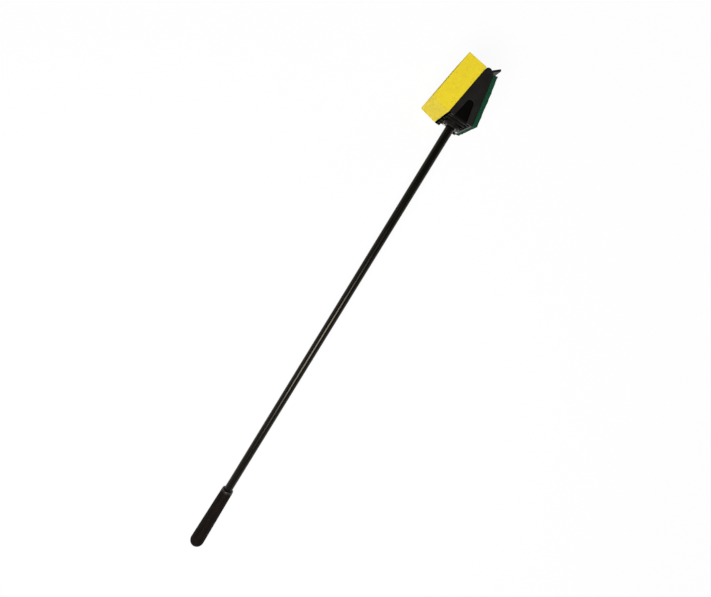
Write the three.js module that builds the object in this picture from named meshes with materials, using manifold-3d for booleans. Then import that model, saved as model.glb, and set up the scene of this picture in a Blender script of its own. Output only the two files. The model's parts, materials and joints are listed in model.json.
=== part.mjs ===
// A long-handled three-way cleaning tool, lying on the floor as it is put down: a hollow wedge head with
// a foam sponge on one plate, a scouring pad on the other and a rubber squeegee blade along its nose,
// screwed onto a painted steel pole that ends in a tapered grip.
//
// The tool is drawn in its own axes first: X runs along the pole towards the nose, Y points to the
// sponge side, Z runs across the head's width, x = 0 is the heel edge of the head and y = 0 the middle of
// its wedge. At the end the whole tool is tipped so that the grip and the head's lower heel edge both
// touch the floor, z = 0.

import * as THREE from "three";
import { mergeVertices } from "three/addons/utils/BufferGeometryUtils.js";
import Module from "manifold-3d";

const wasm = await Module();
wasm.setup();

// Fits, in millimetres
const FIT_GAP = 0.3; // between pieces that touch
const THREAD_CLEARANCE = 0.4; // round the pole's thread in its socket
const MOUTH_CLEARANCE = 0.6; // round the pole where it enters the socket
const OVERCUT = 5; // how far a cutting body stands past the face that it opens

// Head moulding
const HEAD_WIDTH = 203;
const HEAD_LENGTH = 124.7; // heel edge to the crown of the nose
const HEEL_THICKNESS = 60.6; // over the two plates at the heel
const NOSE_THICKNESS = 18.6; // over the two plates, carried on to the crown of the nose
const NOSE_RADIUS = 9.6; // of the crown
const NOSE_RISE = 2.8; // of the crown's centre from the wedge's middle, towards the sponge
const NOSE_SETBACK = 7.2; // from the crown back to the end of the pad's plate
const NOSE_CORE = 12; // solid plastic behind the blade's bead
const PLATE_WALL = 3;
const END_WALL = 3.2;
const EDGE_ROUND = 1.2;
const RIB_WALL = 2.4;
const RIB_PITCH = 36;
const RIB_PAIRS = 2;
const RIB_SETBACK = 1.5; // ribs stop this far inside the heel edge
const ARCH_MOUTH = 34; // width of the arch in each end wall, at the heel
const ARCH_DEPTH = 47.5; // from the heel to the top of the arch
const ARCH_TOP_RADIUS = 8.5;
const ARCH_CHAMFER = 1.2;
const BOSS_WALL = 6.7; // round the socket
const BOSS_FLOOR = 4; // behind the socket
const WEB_WALL = 2.4;
const WEB_DEPTH = 70;

// Pole socket, pressed into the boss and held by two screws through its flange
const FLANGE_LIP = 1; // how far the flange reaches past the boss
const FLANGE_THICKNESS = 11;
const FLANGE_PROUD = 8; // how far the flange stands out of the heel
const SOCKET_WALL = 4.1; // round the thread
const SOCKET_FLOOR = 3;
const SOCKET_SPARE = 2; // free depth past the end of the thread
const MOUTH_DEPTH = 6;
const MOUTH_CHAMFER = 1.2;
const SCREW_DIAMETER = 3.5;
const SCREW_HEAD_DIAMETER = 7;
const SCREW_HEAD_HEIGHT = 2.4;
const SCREW_BITE = 12; // length of screw inside the boss

// Sponge, scouring pad and the sheets that bond them
const SPONGE_NOSE_SET = 1.9; // from the crown of the nose back to the sponge's end
const SPONGE_THICKNESS = 50;
const SPONGE_DRAFT = 1.8; // its outer face is shorter by this at each end
const SPONGE_ROUND = 2;
const PAD_THICKNESS = 10.6;
const PAD_DRAFT = 0.5; // its outer face is shorter by this at each end
const PAD_HEEL_SET = 3.3; // from the heel edge to the pad
const PAD_NOSE_SET = 0.6; // from the end of its plate back to the pad
const PAD_ROUND = 1;
const TAPE_THICKNESS = 0.4;
const TAPE_INSET = 3;

// Squeegee blade
const BLADE_LEAN = 52; // degrees from the pole's line towards the pad
const BLADE_REACH = 28.8; // from the bead's centre to the free edge
const BLADE_NECK = 12; // from the bead's centre to where the blade starts to thicken
const BLADE_THICKNESS = 4.6;
const BLADE_EDGE = 5.2; // thickness at its blunt free edge
const BLADE_ROUND = 1.2; // of the free edge's corners
const BEAD_DIAMETER = 8.4; // the bead sits at the centre of the nose's crown

// Pole
const POLE_DIAMETER = 22.2;
const POLE_SET = -0.7; // of the pole's axis from the wedge's middle, towards the pad
const POLE_WALL = 1;
const TUBE_LENGTH = 1300;
const WASHER_THICKNESS = 1.5;
const TIP_SHOULDER = 2;
const THREAD_STEP = 1.6; // from the pole's surface down to the thread's
const THREAD_LENGTH = 30;
const THREAD_CHAMFER = 1.6;
const SHANK_LENGTH = 32; // part of the tip inside the tube
const PIN_DIAMETER = 4;
const PIN_INSET = 16; // from the tube's end to the pin
const BUNG_LENGTH = 18;
const BUNG_FLANGE = 2;

// Grip
const GRIP_LENGTH = 196;
const GRIP_WALL = 4.7; // at the rim
const GRIP_SWELL = 3.3; // gain in radius from the rim to the round end
const GRIP_END_WALL = 6;
const GRIP_RIM_ROUND = 1.6;

// Facets
const TURN_STEPS = 48;
const ARC_STEPS = 10;
const BEVEL_STEPS = 3;

// Sizes that follow
const heelHalf = HEEL_THICKNESS / 2;
const halfWidth = HEAD_WIDTH / 2;
const plateAngle = Math.atan2(heelHalf - NOSE_THICKNESS / 2, HEAD_LENGTH);
const plateCos = Math.cos(plateAngle);
const plateSin = Math.sin(plateAngle);
const noseCentre = HEAD_LENGTH - NOSE_RADIUS;
const padPlateEnd = HEAD_LENGTH - NOSE_SETBACK;
const plateFlat = padPlateEnd / plateCos; // length of plate that a tape can lie on
const spongeLength = HEAD_LENGTH / plateCos - SPONGE_NOSE_SET;
const padLength = plateFlat - PAD_HEEL_SET - PAD_NOSE_SET;
const beadRadius = BEAD_DIAMETER / 2;
const hollowEnd = noseCentre - beadRadius - FIT_GAP - NOSE_CORE;
const poleRadius = POLE_DIAMETER / 2;
const threadRadius = poleRadius - THREAD_STEP;
const boreRadius = poleRadius - POLE_WALL;
const socketRadius = threadRadius + THREAD_CLEARANCE + SOCKET_WALL;
const sleeveRadius = socketRadius + FIT_GAP;
const bossRadius = sleeveRadius + BOSS_WALL;
const screwOffset = sleeveRadius + BOSS_WALL / 2; // the screws bite into the middle of the boss's wall
const gripTopRadius = poleRadius + FIT_GAP + GRIP_WALL;
const gripEndRadius = gripTopRadius + GRIP_SWELL;
const layerHeight = TAPE_THICKNESS + 2 * FIT_GAP; // plate face to sponge or pad

// Stations along the pole
const flangeFront = -FLANGE_PROUD;
const flangeBack = flangeFront + FLANGE_THICKNESS;
const bossStart = flangeBack + FIT_GAP;
const mouthFloor = flangeFront + MOUTH_DEPTH;
const washerTop = mouthFloor - FIT_GAP;
const shoulderTop = washerTop - WASHER_THICKNESS - FIT_GAP;
const tubeTop = shoulderTop - TIP_SHOULDER - FIT_GAP;
const tubeBottom = tubeTop - TUBE_LENGTH;
const threadEnd = shoulderTop + THREAD_LENGTH;
const socketBoreEnd = threadEnd + SOCKET_SPARE;
const socketEnd = socketBoreEnd + SOCKET_FLOOR;
const bossEnd = socketEnd + FIT_GAP + BOSS_FLOOR;
const bungBottom = tubeBottom - FIT_GAP - BUNG_FLANGE;
const gripBoreEnd = bungBottom - FIT_GAP;
const gripBottom = gripBoreEnd - GRIP_END_WALL;
const gripTop = gripBottom + GRIP_LENGTH;

// Materials, as seen in daylight
const headPlastic = new THREE.MeshStandardMaterial({ color: 0x1c1b19, roughness: 0.42, metalness: 0 });
const socketPlastic = new THREE.MeshStandardMaterial({ color: 0x171615, roughness: 0.35, metalness: 0 });
const gripVinyl = new THREE.MeshStandardMaterial({ color: 0x1b1917, roughness: 0.6, metalness: 0 });
const tipNylon = new THREE.MeshStandardMaterial({ color: 0x24231f, roughness: 0.5, metalness: 0 });
const polePaint = new THREE.MeshStandardMaterial({ color: 0x1a1714, roughness: 0.4, metalness: 0.2 });
const zincSteel = new THREE.MeshStandardMaterial({ color: 0xb9bcbb, roughness: 0.35, metalness: 1 });
const bladeRubber = new THREE.MeshStandardMaterial({ color: 0x151414, roughness: 0.55, metalness: 0 });
const spongeFoam = new THREE.MeshStandardMaterial({ color: 0xe8d23a, roughness: 0.95, metalness: 0 });
const padFibre = new THREE.MeshStandardMaterial({ color: 0x1d5a40, roughness: 0.95, metalness: 0 });
const foamTape = new THREE.MeshStandardMaterial({ color: 0x3a3835, roughness: 0.9, metalness: 0 });

// A closed geometry as a solid that can be cut
function solidFrom(geometry) {
  const bare = geometry.clone();
  bare.deleteAttribute("normal");
  bare.deleteAttribute("uv");
  const merged = mergeVertices(bare, 1e-4);
  const vertProperties = new Float32Array(merged.attributes.position.array);
  const triVerts = new Uint32Array(merged.index.array);
  return new wasm.Manifold(new wasm.Mesh({ numProp: 3, vertProperties, triVerts }));
}

// A solid's surface as a geometry
function geometryFrom(solid) {
  const { vertProperties, triVerts } = solid.getMesh();
  const geometry = new THREE.BufferGeometry();
  geometry.setAttribute("position", new THREE.BufferAttribute(vertProperties, 3));
  geometry.setIndex(new THREE.BufferAttribute(triVerts, 1));
  geometry.computeVertexNormals();
  return geometry;
}

// A profile of [station, radius] points turned round the pole's axis
function turned(profile) {
  const points = profile.map(([station, radius]) => new THREE.Vector2(radius, station));
  return new THREE.LatheGeometry(points, TURN_STEPS).rotateZ(-Math.PI / 2).translate(0, POLE_SET, 0);
}

// [station, radius] points of a round corner, with angles from the pole's direction
function corner(station, radius, round, from, to, steps = ARC_STEPS) {
  return Array.from({ length: steps + 1 }, (_, i) => {
    const angle = THREE.MathUtils.degToRad(from + ((to - from) * i) / steps);
    return [station + round * Math.cos(angle), radius + round * Math.sin(angle)];
  });
}

// An outline in X and Y carried from one Z to another, with rounded rims where round is given
function prism(shape, low, high, round = 0) {
  const settings = { depth: high - low - 2 * round, curveSegments: ARC_STEPS, bevelEnabled: round > 0 };
  const rim = { bevelSize: round, bevelOffset: -round, bevelThickness: round, bevelSegments: BEVEL_STEPS };
  return new THREE.ExtrudeGeometry(shape, { ...settings, ...rim }).translate(0, 0, low + round);
}

// A straight-sided outline through [x, y] points
function outline(points) {
  return new THREE.Shape(points.map(([x, y]) => new THREE.Vector2(x, y)));
}

// A block's outline from corner to corner with round corners, its top shorter by draft at each end
function taperedOutline(x0, y0, x1, y1, draft, round) {
  const shape = new THREE.Shape();
  shape.absarc(x1 - round, y0 + round, round, -Math.PI / 2, 0);
  shape.absarc(x1 - draft - round, y1 - round, round, 0, Math.PI / 2);
  shape.absarc(x0 + draft + round, y1 - round, round, Math.PI / 2, Math.PI);
  shape.absarc(x0 + round, y0 + round, round, Math.PI, 1.5 * Math.PI);
  return shape;
}

// A plain block between two opposite corners
function block(low, high) {
  const size = new THREE.Vector3().subVectors(high, low);
  const middle = new THREE.Vector3().addVectors(low, high).multiplyScalar(0.5);
  return new THREE.BoxGeometry(size.x, size.y, size.z).translate(middle.x, middle.y, middle.z);
}

function piece(name, geometry, material) {
  const mesh = new THREE.Mesh(geometry, material);
  mesh.name = name;
  return mesh;
}

// Half the clear height between the plates' inner faces
function innerHalf(x) {
  return heelHalf - PLATE_WALL / plateCos - x * Math.tan(plateAngle);
}

// The wedge seen from its end: two plates from the heel, joined by a nose that is crowned on the sponge's
// side and runs down in a straight land, where the blade comes out, to the end of the pad's plate
function wedgeOutline() {
  const padPlateY = padPlateEnd * Math.tan(plateAngle) - heelHalf;
  const landRun = padPlateEnd - noseCentre;
  const landDrop = padPlateY - NOSE_RISE;
  const landAngle = Math.atan2(landDrop, landRun) + Math.acos(NOSE_RADIUS / Math.hypot(landRun, landDrop));
  const plateLift = (heelHalf - NOSE_RISE) * plateCos - noseCentre * plateSin;
  const crownAngle = Math.PI / 2 - plateAngle - Math.acos(plateLift / NOSE_RADIUS);
  const shape = new THREE.Shape();
  shape.absarc(noseCentre, NOSE_RISE, NOSE_RADIUS, landAngle, crownAngle);
  shape.lineTo(0, heelHalf);
  shape.lineTo(0, -heelHalf);
  shape.lineTo(padPlateEnd, padPlateY);
  return shape;
}

// The space between the plates, open at the heel
function hollowOutline() {
  const mouth = innerHalf(-OVERCUT);
  const end = innerHalf(hollowEnd);
  return outline([[-OVERCUT, -mouth], [hollowEnd, -end], [hollowEnd, end], [-OVERCUT, mouth]]);
}

// The arch in each end wall: straight sides that lean in from the heel to a round top
function archOutline() {
  const half = ARCH_MOUTH / 2;
  const centre = ARCH_DEPTH - ARCH_TOP_RADIUS;
  const lean = Math.acos(ARCH_TOP_RADIUS / Math.hypot(centre, half)) - Math.atan2(centre, half);
  const tangent = Math.PI / 2 - lean;
  const flare = half + OVERCUT * Math.tan(lean);
  const shape = new THREE.Shape();
  shape.absarc(centre, 0, ARCH_TOP_RADIUS, -tangent, tangent);
  shape.lineTo(-OVERCUT, flare);
  shape.lineTo(-OVERCUT, -flare);
  return shape;
}

// Widens an end wall's arch towards its outer face, standing on z = 0 there
function archFlare() {
  const rim = { bevelSize: ARCH_CHAMFER, bevelThickness: ARCH_CHAMFER, bevelSegments: 1 };
  return new THREE.ExtrudeGeometry(archOutline(), { depth: OVERCUT, curveSegments: ARC_STEPS, ...rim });
}

// The blade's section along its own line from the bead's centre, widened all round by grow
function bladeOutline(grow, reach) {
  const half = BLADE_THICKNESS / 2 + grow;
  const edge = BLADE_EDGE / 2 + grow;
  const bead = beadRadius + grow;
  const neck = Math.asin(half / bead);
  const shape = new THREE.Shape();
  shape.absarc(0, 0, bead, neck, 2 * Math.PI - neck);
  shape.lineTo(BLADE_NECK, -half);
  shape.absarc(reach - BLADE_ROUND, BLADE_ROUND - edge, BLADE_ROUND, -Math.PI / 2, 0);
  shape.absarc(reach - BLADE_ROUND, edge - BLADE_ROUND, BLADE_ROUND, 0, Math.PI / 2);
  shape.lineTo(BLADE_NECK, half);
  return shape;
}

function bladePrism(grow, reach, low, high) {
  const lean = -THREE.MathUtils.degToRad(BLADE_LEAN);
  return prism(bladeOutline(grow, reach), low, high).rotateZ(lean).translate(noseCentre, NOSE_RISE, 0);
}

// Places of the two socket screws, either side of the pole
const screwPlaces = { left: screwOffset, right: -screwOffset };

function screwHole(y, radius) {
  const end = bossStart + SCREW_BITE + FIT_GAP;
  const profile = [[flangeFront - OVERCUT, 0], [flangeFront - OVERCUT, radius], [end, radius], [end, 0]];
  return solidFrom(turned(profile).translate(0, y, 0));
}

// The head moulding: wedge, end walls with arches, ribs, boss, webs and the blade's slot
function headShell() {
  const inside = halfWidth - END_WALL;
  const ribs = Array.from({ length: 2 * RIB_PAIRS + 1 }, (_, i) => (i - RIB_PAIRS) * RIB_PITCH)
    .filter((z) => z !== 0)
    .sort((a, b) => a - b);
  const starts = [-inside, ...ribs.map((z) => z + RIB_WALL / 2)];
  const ends = [...ribs.map((z) => z - RIB_WALL / 2), inside];
  const hollow = hollowOutline();
  let bays = solidFrom(prism(hollow, -inside, inside)).intersect(
    solidFrom(block(new THREE.Vector3(-2 * OVERCUT, -HEEL_THICKNESS, -halfWidth),
      new THREE.Vector3(RIB_SETBACK, HEEL_THICKNESS, halfWidth))));
  starts.forEach((start, i) => {
    bays = bays.add(solidFrom(prism(hollow, start, ends[i])));
  });

  const boss = solidFrom(turned([
    [bossStart, 0], [bossStart, bossRadius], [bossEnd, bossRadius], [bossEnd, 0],
  ]));
  const acrossWeb = block(new THREE.Vector3(bossStart, POLE_SET - WEB_WALL / 2, -RIB_PITCH),
    new THREE.Vector3(WEB_DEPTH, POLE_SET + WEB_WALL / 2, RIB_PITCH));
  const plateWeb = block(new THREE.Vector3(bossStart, -heelHalf, -WEB_WALL / 2),
    new THREE.Vector3(WEB_DEPTH, heelHalf, WEB_WALL / 2));
  bays = bays.subtract(boss.add(solidFrom(acrossWeb)).add(solidFrom(plateWeb)));

  const sleeveEnd = socketEnd + FIT_GAP;
  const bore = turned([
    [bossStart - OVERCUT, 0], [bossStart - OVERCUT, sleeveRadius], [sleeveEnd, sleeveRadius], [sleeveEnd, 0],
  ]);
  const slotReach = BLADE_REACH + OVERCUT;
  let shell = solidFrom(prism(wedgeOutline(), -halfWidth, halfWidth, EDGE_ROUND))
    .subtract(bays)
    .subtract(solidFrom(bore))
    .subtract(solidFrom(bladePrism(FIT_GAP, slotReach, -halfWidth - OVERCUT, halfWidth + OVERCUT)));
  shell = shell.subtract(solidFrom(prism(archOutline(), -halfWidth - OVERCUT, -inside + OVERCUT)))
    .subtract(solidFrom(prism(archOutline(), inside - OVERCUT, halfWidth + OVERCUT)))
    .subtract(solidFrom(archFlare().translate(0, 0, halfWidth)))
    .subtract(solidFrom(archFlare().translate(0, 0, halfWidth).rotateX(Math.PI)));
  for (const y of Object.values(screwPlaces)) {
    shell = shell.subtract(screwHole(y, SCREW_DIAMETER / 2 + FIT_GAP));
  }
  return geometryFrom(shell);
}

// The socket: a round flange at the heel and a blind sleeve that takes the pole's thread
function poleSocket() {
  const mouth = poleRadius + MOUTH_CLEARANCE;
  const bore = threadRadius + THREAD_CLEARANCE;
  const flange = bossRadius + FLANGE_LIP;
  const rim = corner(flangeFront + EDGE_ROUND, flange - EDGE_ROUND, EDGE_ROUND, 180, 90, BEVEL_STEPS);
  let socket = solidFrom(turned([
    [socketBoreEnd, 0], [socketBoreEnd, bore], [mouthFloor, bore], [mouthFloor, mouth],
    [flangeFront + MOUTH_CHAMFER, mouth], [flangeFront, mouth + MOUTH_CHAMFER], ...rim,
    [flangeBack, flange], [flangeBack, socketRadius], [socketEnd, socketRadius], [socketEnd, 0],
  ]));
  for (const y of Object.values(screwPlaces)) {
    socket = socket.subtract(screwHole(y, SCREW_DIAMETER / 2 + FIT_GAP));
  }
  return geometryFrom(socket);
}

// A pan-head screw with its head on the flange
function socketScrew(y) {
  const seat = flangeFront - FIT_GAP;
  const radius = SCREW_DIAMETER / 2;
  const head = SCREW_HEAD_DIAMETER / 2;
  const round = SCREW_HEAD_HEIGHT / 2;
  const point = bossStart + SCREW_BITE;
  const dome = corner(seat - round, head - round, round, 180, 90, BEVEL_STEPS);
  return turned([
    [seat - SCREW_HEAD_HEIGHT, 0], ...dome, [seat, head], [seat, radius], [point - radius, radius],
    [point, 0],
  ]).translate(0, y, 0);
}

// The rubber blade: a bead in the nose, and a lip with a blunt, slightly thicker edge
function squeegeeBlade() {
  return bladePrism(0, BLADE_REACH, -halfWidth, halfWidth);
}

// A sponge or pad lying over a plate, in the plate's own axes: X from the heel, Y outwards
function layer(start, length, thickness, draft, round) {
  const shape = taperedOutline(start, layerHeight, start + length, layerHeight + thickness, draft, round);
  return prism(shape, -halfWidth, halfWidth, round / 2);
}

// The bonding sheet under a sponge or pad, kept inside its edges and on the flat of the plate
function tape(start) {
  return block(new THREE.Vector3(start + TAPE_INSET, FIT_GAP, -halfWidth + TAPE_INSET),
    new THREE.Vector3(plateFlat - TAPE_INSET, FIT_GAP + TAPE_THICKNESS, halfWidth - TAPE_INSET));
}

// A hole or pin across the pole, through its axis
function acrossPole(station, radius, length) {
  return new THREE.CylinderGeometry(radius, radius, length, TURN_STEPS / 2).translate(station, POLE_SET, 0);
}

function pinHole() {
  return solidFrom(acrossPole(tubeTop - PIN_INSET, PIN_DIAMETER / 2 + FIT_GAP, 2 * POLE_DIAMETER));
}

function poleTube() {
  const tube = turned([
    [tubeBottom, boreRadius], [tubeBottom, poleRadius], [tubeTop, poleRadius], [tubeTop, boreRadius],
    [tubeBottom, boreRadius],
  ]);
  return geometryFrom(solidFrom(tube).subtract(pinHole()));
}

// The threaded tip: a shank in the tube, a shoulder on its end and the thread's outer size
function threadedTip() {
  const shank = boreRadius - FIT_GAP;
  const shankEnd = tubeTop - SHANK_LENGTH;
  const tip = turned([
    [shankEnd, 0], [shankEnd, shank], [tubeTop + FIT_GAP, shank], [tubeTop + FIT_GAP, poleRadius],
    [shoulderTop, poleRadius], [shoulderTop, threadRadius], [threadEnd - THREAD_CHAMFER, threadRadius],
    [threadEnd, threadRadius - THREAD_CHAMFER], [threadEnd, 0],
  ]);
  return geometryFrom(solidFrom(tip).subtract(pinHole()));
}

function tipPin() {
  return acrossPole(tubeTop - PIN_INSET, PIN_DIAMETER / 2, POLE_DIAMETER);
}

// The washer round the thread, between the tip's shoulder and the floor of the socket's mouth
function frictionWasher() {
  const inner = threadRadius + FIT_GAP;
  const low = washerTop - WASHER_THICKNESS;
  return turned([[low, inner], [low, poleRadius], [washerTop, poleRadius], [washerTop, inner], [low, inner]]);
}

// The bung that covers the tube's cut end inside the grip
function tubeBung() {
  const stem = boreRadius - FIT_GAP;
  const seat = bungBottom + BUNG_FLANGE;
  return turned([
    [bungBottom, 0], [bungBottom, poleRadius], [seat, poleRadius], [seat, stem], [seat + BUNG_LENGTH, stem],
    [seat + BUNG_LENGTH, 0],
  ]);
}

// The grip: a tapered sleeve with a round end, a blind bore and a rounded rim
function grip() {
  const bore = poleRadius + FIT_GAP;
  const rim = gripTopRadius - GRIP_RIM_ROUND;
  return turned([
    ...corner(gripBottom + gripEndRadius, 0, gripEndRadius, 180, 90),
    ...corner(gripTop - GRIP_RIM_ROUND, rim, GRIP_RIM_ROUND, 90, 0, BEVEL_STEPS),
    [gripTop, bore], [gripBoreEnd, bore], [gripBoreEnd, 0],
  ]);
}

// The tool in its own axes
const tool = new THREE.Group();
tool.add(piece("head_shell", headShell(), headPlastic));
tool.add(piece("pole_socket", poleSocket(), socketPlastic));
for (const [side, y] of Object.entries(screwPlaces)) {
  tool.add(piece(`socket_screw_${side}`, socketScrew(y), zincSteel));
}
tool.add(piece("squeegee_blade", squeegeeBlade(), bladeRubber));

const spongePlate = new THREE.Group();
spongePlate.position.set(0, heelHalf, 0);
spongePlate.rotation.set(0, 0, -plateAngle);
spongePlate.add(piece("sponge_tape", tape(0), foamTape));
const spongeBlock = layer(0, spongeLength, SPONGE_THICKNESS, SPONGE_DRAFT, SPONGE_ROUND);
spongePlate.add(piece("sponge", spongeBlock, spongeFoam));
tool.add(spongePlate);

const padPlate = new THREE.Group();
padPlate.position.set(0, -heelHalf, 0);
padPlate.rotation.set(Math.PI, 0, plateAngle, "ZYX");
padPlate.add(piece("pad_tape", tape(PAD_HEEL_SET), foamTape));
const padBlock = layer(PAD_HEEL_SET, padLength, PAD_THICKNESS, PAD_DRAFT, PAD_ROUND);
padPlate.add(piece("scouring_pad", padBlock, padFibre));
tool.add(padPlate);

tool.add(piece("friction_washer", frictionWasher(), bladeRubber));
tool.add(piece("threaded_tip", threadedTip(), tipNylon));
tool.add(piece("tip_pin", tipPin(), zincSteel));
tool.add(piece("pole_tube", poleTube(), polePaint));
tool.add(piece("tube_bung", tubeBung(), tipNylon));
tool.add(piece("grip", grip(), gripVinyl));

// Tip the tool until the grip's round end and the head's lower heel edge stand on the same floor
const gripCentre = gripBottom + gripEndRadius;
const restReach = Math.hypot(gripCentre, halfWidth);
tool.rotation.y = Math.asin(gripEndRadius / restReach) - Math.atan2(halfWidth, -gripCentre);

// Set the origin on the floor under the middle of the tool
const part = new THREE.Group();
part.add(tool);
part.updateMatrixWorld(true);
const extent = new THREE.Box3().setFromObject(part, true);
const middle = extent.getCenter(new THREE.Vector3());
tool.position.set(-middle.x, -middle.y, -extent.min.z);

export default part;
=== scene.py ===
"""A long-handled cleaning tool, dressed for rendering: foam sponge, scouring pad and rubber blade on a
black wedge head, a painted pole and a soft grip, lying on a white studio floor."""

import json
import math

import bpy
import numpy as np
from mathutils import Matrix, Vector


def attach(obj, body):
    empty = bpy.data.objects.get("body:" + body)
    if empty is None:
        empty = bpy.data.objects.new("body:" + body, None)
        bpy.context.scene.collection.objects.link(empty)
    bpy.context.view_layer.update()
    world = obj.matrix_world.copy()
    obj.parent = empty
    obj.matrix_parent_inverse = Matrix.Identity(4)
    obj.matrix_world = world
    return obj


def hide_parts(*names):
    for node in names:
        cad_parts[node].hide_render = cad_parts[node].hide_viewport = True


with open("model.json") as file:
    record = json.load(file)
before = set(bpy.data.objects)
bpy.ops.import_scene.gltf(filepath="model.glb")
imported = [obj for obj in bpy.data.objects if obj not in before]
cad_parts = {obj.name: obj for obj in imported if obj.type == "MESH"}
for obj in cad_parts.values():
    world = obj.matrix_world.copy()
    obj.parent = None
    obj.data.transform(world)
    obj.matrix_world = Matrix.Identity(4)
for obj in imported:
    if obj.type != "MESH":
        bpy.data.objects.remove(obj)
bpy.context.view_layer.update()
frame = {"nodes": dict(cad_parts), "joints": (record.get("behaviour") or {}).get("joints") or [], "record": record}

bl_info = {
    "name": "Long-handled cleaning squeegee",
    "version": (1, 0, 0),
    "blender": (4, 5, 0),
    "location": "View3D > Sidebar > Squeegee",
    "description": "Dresses the squeegee's frame with its foam, fibre, rubber, plastic and painted pieces",
    "category": "Object",
}

MM = 0.001  # the frame is in metres, the sizes here are in millimetres
GAP = 0.3  # clearance between pieces that touch, in millimetres
BONDED = 0.25  # share of a pad's thickness over which its bonded face holds it still
ROUND_STEPS = 96  # points round a turned piece
WHITE = (1.0, 1.0, 1.0, 1.0)

# Starting numbers of the random patterns
FIBRE_SEED = 7
PORE_SEED = 11
WAVE_SEED = 21
MAT_SEED = 31
FUZZ_SEED = 32
RAGGED_SEED = 33

# Shares of a pan-head screw's radius
PAN_DEPTH = 0.69
PAN_ROUND = 0.34
RECESS_REACH = 0.66
SHANK = 0.5

# The tool's own axes, from the joint that its pole unscrews about
UNSCREW = next(joint for joint in frame["joints"] if joint["name"] == "pole_unscrew")
HEEL = np.array(UNSCREW["pos_m"])  # on the pole's axis, at the heel edge of the head
ALONG = -np.array(UNSCREW["axis"])  # along the pole, towards the nose
SIDE = np.array((0.0, 1.0, 0.0))  # towards the sponge
ACROSS = np.cross(ALONG, SIDE)  # across the head's width
POLE_AXES = np.array((ALONG, SIDE, ACROSS))


# Settings

def linear(code):
    """A colour written as an sRGB hex value, as linear red, green and blue."""
    shares = np.array([int(code[i:i + 2], 16) for i in (0, 2, 4)]) / 255
    low = shares / 12.92
    high = ((shares + 0.055) / 1.055) ** 2.4
    return tuple(float(value) for value in np.where(shares <= 0.04045, low, high))


def number_property(label, description, default, **kind):
    """A number that a user may change, with its unit, subtype or limits."""
    return bpy.props.FloatProperty(name=label, description=description, default=default, **kind)


def size_property(label, description, default):
    """A length in millimetres that a user may change."""
    return number_property(label, description + ", in millimetres", default, min=0.0)


def share_property(label, description, default):
    """A share from 0 to 1 that a user may change."""
    return number_property(label, description, default, subtype="FACTOR", min=0.0, max=1.0)


def vector_property(label, description, default, **kind):
    """Three numbers that a user may change, with their unit, subtype or limits."""
    return bpy.props.FloatVectorProperty(name=label, description=description, default=default, **kind)


def place_property(label, description, default):
    """A place in the frame that a user may change."""
    return vector_property(label, description, default, subtype="TRANSLATION", unit="LENGTH")


def colour_property(label, description, code):
    """A colour that a user may change, written as an sRGB hex value."""
    return vector_property(label, description, linear(code), subtype="COLOR", size=3, min=0.0, max=1.0)


class SpongeSettings(bpy.types.PropertyGroup):
    """Sizes and colours of the foam sponge."""

    mesh_step: size_property("Mesh step", "Spacing of the surface's points", 0.95)
    edge_round: size_property("Edge round", "Radius of the cut edges", 2.0)
    draft: size_property("Draft", "How much shorter the outer face is at each end", 1.8)
    waviness: size_property("Waviness", "Height of the slow waves in the cut faces", 0.5)
    wave_length: size_property("Wave length", "Spacing of the slow waves", 38.0)
    pore_spacing: size_property("Pore spacing", "Spacing of the open cells", 5.2)
    pore_small: size_property("Small pore", "Radius of the smallest open cells", 0.7)
    pore_large: size_property("Large pore", "Radius of the largest open cells", 2.1)
    pore_depth: size_property("Pore depth", "Depth of the largest open cells", 1.1)
    colour: colour_property("Foam", "Colour of the foam's skin", "e8d02a")
    # painted shade deep in the open cells
    pore_shade_colour: colour_property("Pores", "Colour deep in the open cells", "cfae1f")


class PadSettings(bpy.types.PropertyGroup):
    """Sizes and colours of the scouring pad."""

    mesh_step: size_property("Mesh step", "Spacing of the surface's points", 0.85)
    edge_round: size_property("Edge round", "Radius of the cut edges", 1.0)
    relief: size_property("Relief", "Height of the matted fibres", 0.5)
    relief_length: size_property("Relief length", "Spacing of the matted fibres", 3.2)
    raggedness: size_property("Raggedness", "How far the cut edges wander", 2.2)
    ragged_length: size_property("Ragged length", "Spacing of the wander of the edges", 9.0)
    tip_thinning: size_property("Tip thinning", "How much thinner the pad is at the nose", 0.6)
    fibre_count: bpy.props.IntProperty(
        name="Fibres", description="Number of loose fibres on the faces and edges", default=1500, min=0)
    fibre_radius: size_property("Fibre radius", "Radius of a loose fibre", 0.14)
    fibre_length: size_property("Fibre length", "Longest loose fibre", 10.0)
    fibre_root: size_property("Fibre root", "Depth at which a loose fibre starts", 0.9)
    fibre_short: size_property("Fibre short", "How far within the pad's sides a fibre may be stopped", 0.4)
    fibre_proud: size_property("Fibre proud", "How far a fibre may stand out past the pad's sides", 0.5)
    colour: colour_property("Fibre", "Colour of the lit fibres", "144931")
    # the gaps' colour is painted shade between the fibres
    gap_shade_colour: colour_property("Gaps", "Colour between the fibres", "052113")


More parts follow.
